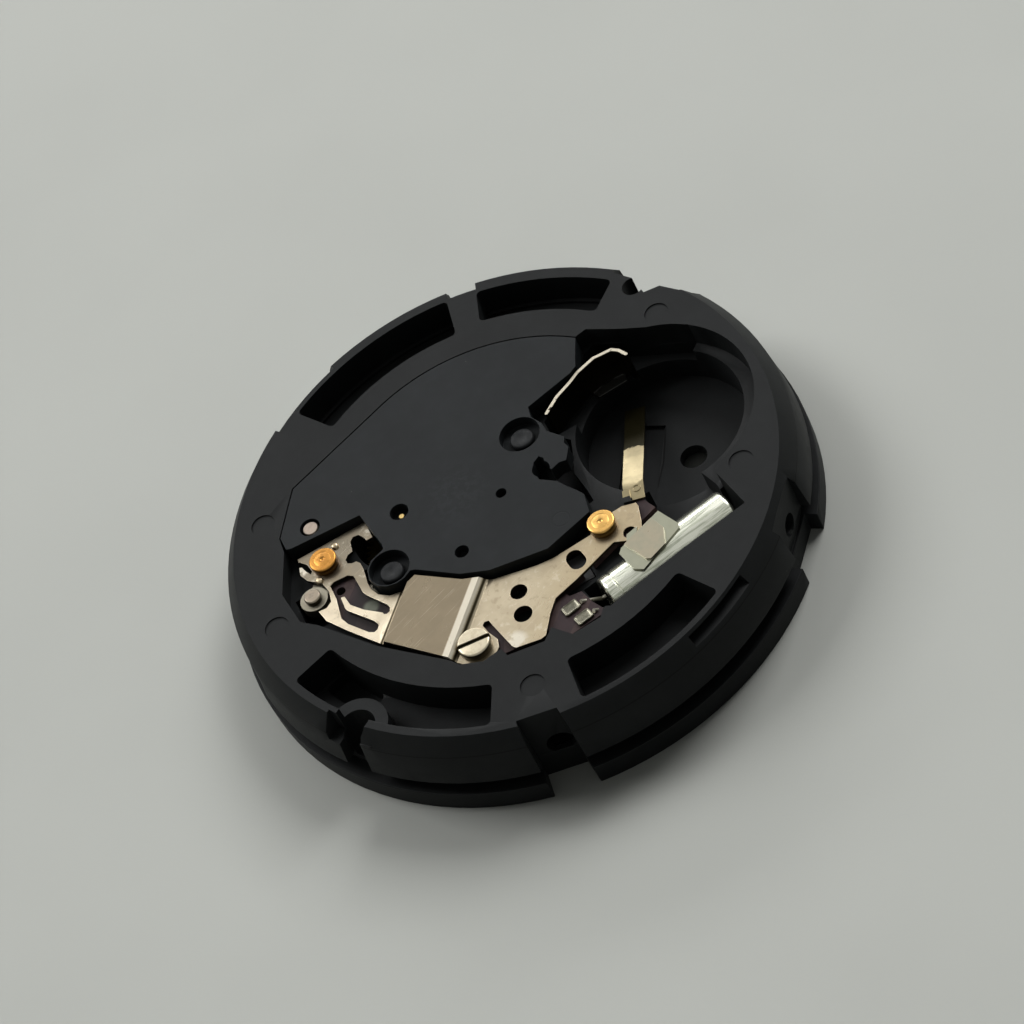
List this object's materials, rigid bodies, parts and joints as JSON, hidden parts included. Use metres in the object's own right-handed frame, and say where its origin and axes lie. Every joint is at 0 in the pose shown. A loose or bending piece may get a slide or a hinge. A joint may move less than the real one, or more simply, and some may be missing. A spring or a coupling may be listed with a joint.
{
  "type": "quartz watch movement",
  "caption": "Round quartz watch movement, back up, with train cover, coil strap, crystal can, setting works and an empty battery well in a black moulded plate",
  "frame": {"origin": "on the axis of the hands, at the lower face of the flange", "axes": "+Z points out of the back of the movement, up in the picture; -X points along the setting stem; the battery well is at +X"},
  "size_m": [0.025, 0.025, 0.0039],
  "materials": {
    "black_plastic": "matt moulded black plastic",
    "cover_plastic": "matt moulded blue-black plastic",
    "strap_nickel": "warm nickel-plated sheet, lightly stained",
    "brass_post": "turned brass",
    "pale_steel": "plated steel",
    "crystal_nickel": "drawn nickel-silver can with bright streaks",
    "clamp_tin": "tinned sheet, slightly green",
    "leaf_spring": "spring sheet, browned towards the tip",
    "board": "purple-brown circuit laminate",
    "solder": "solder",
    "copper_pin": "copper-coloured pin end",
    "chip_resin": "black resin",
    "coil_wire": "enamelled copper winding",
    "soft_iron": "annealed iron sheet",
    "magnet": "sintered magnet",
    "train_brass": "cut brass wheel",
    "train_plastic": "ivory acetal wheel"
  },
  "bodies": {
    "movement": {"main_plate": "black_plastic", "dial_ring": "black_plastic", "train_cover": "cover_plastic", "cover_stake_east": "black_plastic", "cover_stake_west": "black_plastic", "cover_pin": "copper_pin", "circuit_board": "board", "circuit_strap": "strap_nickel", "pillar_west": "brass_post", "pillar_east": "brass_post", "plate_screw": "pale_steel", "solder_joint_inner": "solder", "solder_joint_outer": "solder", "control_chip": "chip_resin", "crystal_can": "crystal_nickel", "crystal_clamp": "clamp_tin", "crystal_lead_inner": "solder", "crystal_lead_outer": "solder", "minus_leaf": "leaf_spring", "plus_contact": "leaf_spring", "coil_core": "soft_iron", "coil_winding": "coil_wire", "stator": "soft_iron", "guard_plate": "pale_steel", "guard_screw_east": "pale_steel", "guard_screw_west": "pale_steel", "guard_screw_south": "pale_steel"},
    "seconds": {"seconds_wheel": "train_brass", "seconds_arbor": "pale_steel"},
    "fifth": {"fifth_wheel": "train_plastic"},
    "rotor": {"rotor_magnet": "magnet", "rotor_pinion": "pale_steel"},
    "third": {"third_wheel": "train_plastic"},
    "centre": {"centre_wheel": "train_brass"},
    "minute": {"minute_wheel": "train_plastic"},
    "hour": {"hour_wheel": "train_brass"},
    "setting": {"setting_wheel": "train_plastic"},
    "yoke_body": {"yoke": "pale_steel"},
    "pinion": {"sliding_pinion": "pale_steel"},
    "lever": {"setting_lever": "pale_steel", "setting_lever_pin": "pale_steel"}
  },
  "joints": [
    {"name": "seconds_wheel_turn", "type": "hinge", "parent": "movement", "child": "seconds", "pos_m": [0, 0, 0.00248], "axis": [0, 0, 1], "continuous": true},
    {"name": "fifth_wheel_turn", "type": "hinge", "parent": "movement", "child": "fifth", "pos_m": [-0.0006, -0.00179, 0.00276], "axis": [0, 0, 1], "continuous": true},
    {"name": "rotor_turn", "type": "hinge", "parent": "movement", "child": "rotor", "pos_m": [-0.00252, -0.0017, 0.00234], "axis": [0, 0, 1], "continuous": true},
    {"name": "third_wheel_turn", "type": "hinge", "parent": "movement", "child": "third", "pos_m": [-0.00177, 0.00064, 0.00219], "axis": [0, 0, 1], "continuous": true},
    {"name": "centre_wheel_turn", "type": "hinge", "parent": "movement", "child": "centre", "pos_m": [0, 0, 0.00192], "axis": [0, 0, 1], "continuous": true},
    {"name": "minute_wheel_turn", "type": "hinge", "parent": "movement", "child": "minute", "pos_m": [-0.00047, 0.00174, 0.00163], "axis": [0, 0, 1], "continuous": true},
    {"name": "hour_wheel_turn", "type": "hinge", "parent": "movement", "child": "hour", "pos_m": [0, 0, 0.001], "axis": [0, 0, 1], "continuous": true},
    {"name": "setting_wheel_turn", "type": "hinge", "parent": "movement", "child": "setting", "pos_m": [-0.00398, 0.00186, 0.00163], "axis": [0, 0, 1], "continuous": true},
    {"name": "setting_lever_turn", "type": "hinge", "parent": "movement", "child": "lever", "pos_m": [-0.00764, 0.00171, 0.00315], "axis": [0, 0, 1], "range_deg": [-15, 0]},
    {"name": "yoke_slide", "type": "slide", "parent": "movement", "child": "yoke_body", "axis": [1, 0, 0], "range_m": [0, 0.0003]},
    {"name": "sliding_pinion_turn", "type": "hinge", "parent": "yoke_body", "child": "pinion", "pos_m": [-0.00683, 0, 0.00225], "axis": [1, 0, 0], "continuous": true}
  ],
  "couplings": [
    {"joint": "fifth_wheel_turn", "follows": "seconds_wheel_turn", "ratio": -6},
    {"joint": "rotor_turn", "follows": "seconds_wheel_turn", "ratio": 30},
    {"joint": "third_wheel_turn", "follows": "seconds_wheel_turn", "ratio": -0.13333},
    {"joint": "centre_wheel_turn", "follows": "seconds_wheel_turn", "ratio": 0.016667},
    {"joint": "minute_wheel_turn", "follows": "seconds_wheel_turn", "ratio": -0.0055556},
    {"joint": "hour_wheel_turn", "follows": "seconds_wheel_turn", "ratio": 0.0013889},
    {"joint": "setting_wheel_turn", "follows": "seconds_wheel_turn", "ratio": 0.0034722},
    {"joint": "setting_lever_turn", "follows": "yoke_slide", "rad_per_m": -872.66}
  ]
}
